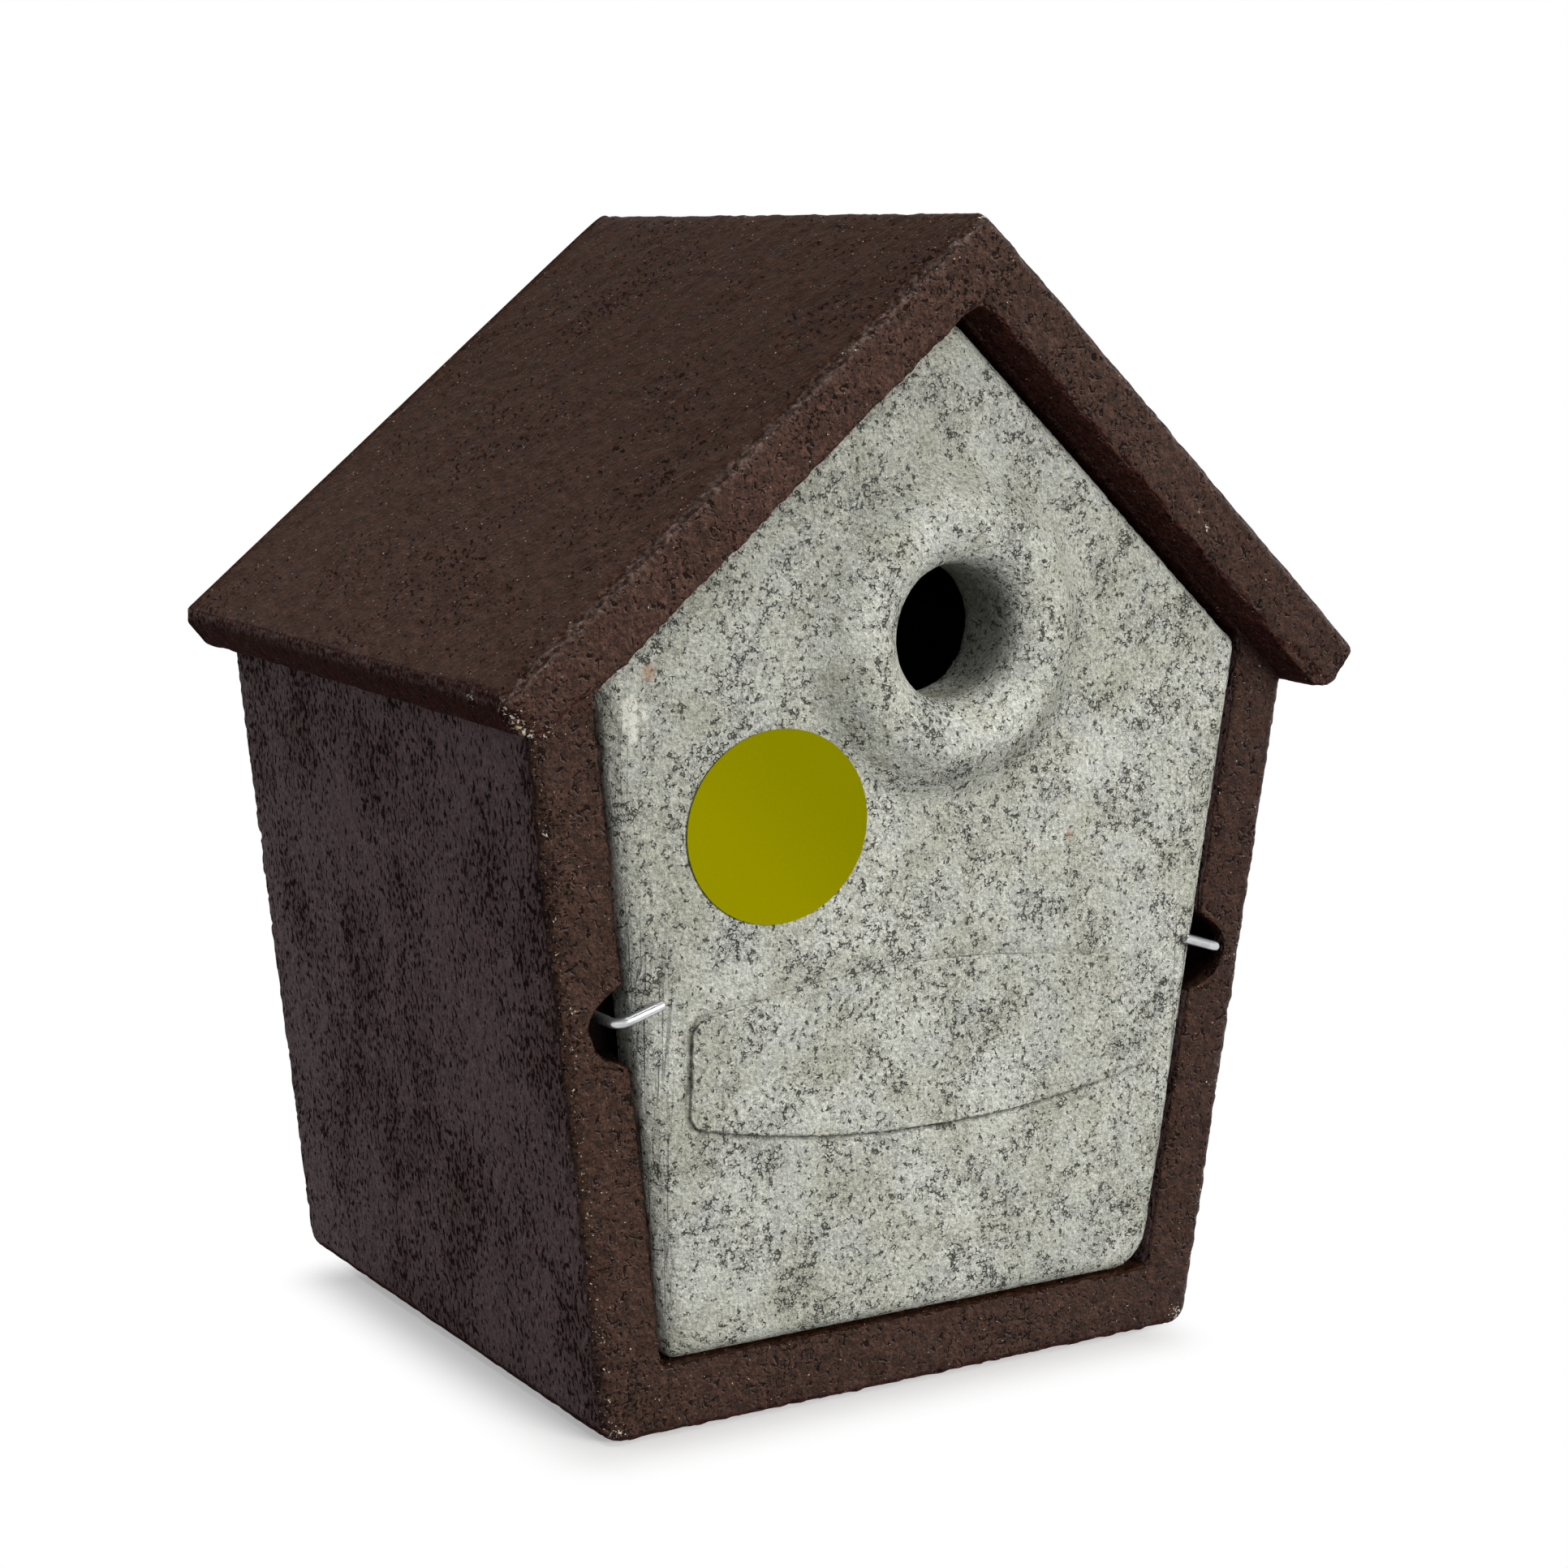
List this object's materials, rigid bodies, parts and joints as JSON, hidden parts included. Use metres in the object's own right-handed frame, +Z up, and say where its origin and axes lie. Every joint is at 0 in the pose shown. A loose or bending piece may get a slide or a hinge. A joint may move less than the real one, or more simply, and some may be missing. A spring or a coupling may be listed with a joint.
{
  "type": "woodcrete nest box",
  "caption": "Gabled nest box of cast woodcrete with a lift-out front, a flared round entrance and wire hooks that turn over the front's edges.",
  "frame": {"origin": "on the ground, under the ridge, at the middle of the roof's depth", "axes": "+Z up; the front and its entrance face -Y; +X is to the right seen from the front"},
  "size_m": [0.2498, 0.18, 0.2889],
  "materials": {
    "brown_woodcrete": "satin brown paint over coarse, pitted woodcrete",
    "grey_woodcrete": "bare matte woodcrete with fine fibre pits",
    "galvanised_wire": "bright zinc",
    "olive_paper": "matte printed paper"
  },
  "bodies": {
    "shell": {"body_shell": "brown_woodcrete"},
    "front": {"front_panel": "grey_woodcrete", "round_label": "olive_paper"},
    "left_turn_hook": {"left_hook": "galvanised_wire"},
    "right_turn_hook": {"right_hook": "galvanised_wire"}
  },
  "joints": [
    {"name": "front_draw", "type": "slide", "parent": "shell", "child": "front", "axis": [0, -1, 0], "range_m": [0, 0.12]},
    {"name": "left_hook_turn", "type": "hinge", "parent": "shell", "child": "left_turn_hook", "pos_m": [-0.09023, -0.08105, 0.1035], "axis": [0, 1, 0], "range_deg": [0, 180]},
    {"name": "right_hook_turn", "type": "hinge", "parent": "shell", "child": "right_turn_hook", "pos_m": [0.09023, -0.08105, 0.1035], "axis": [0, -1, 0], "range_deg": [0, 180]}
  ]
}
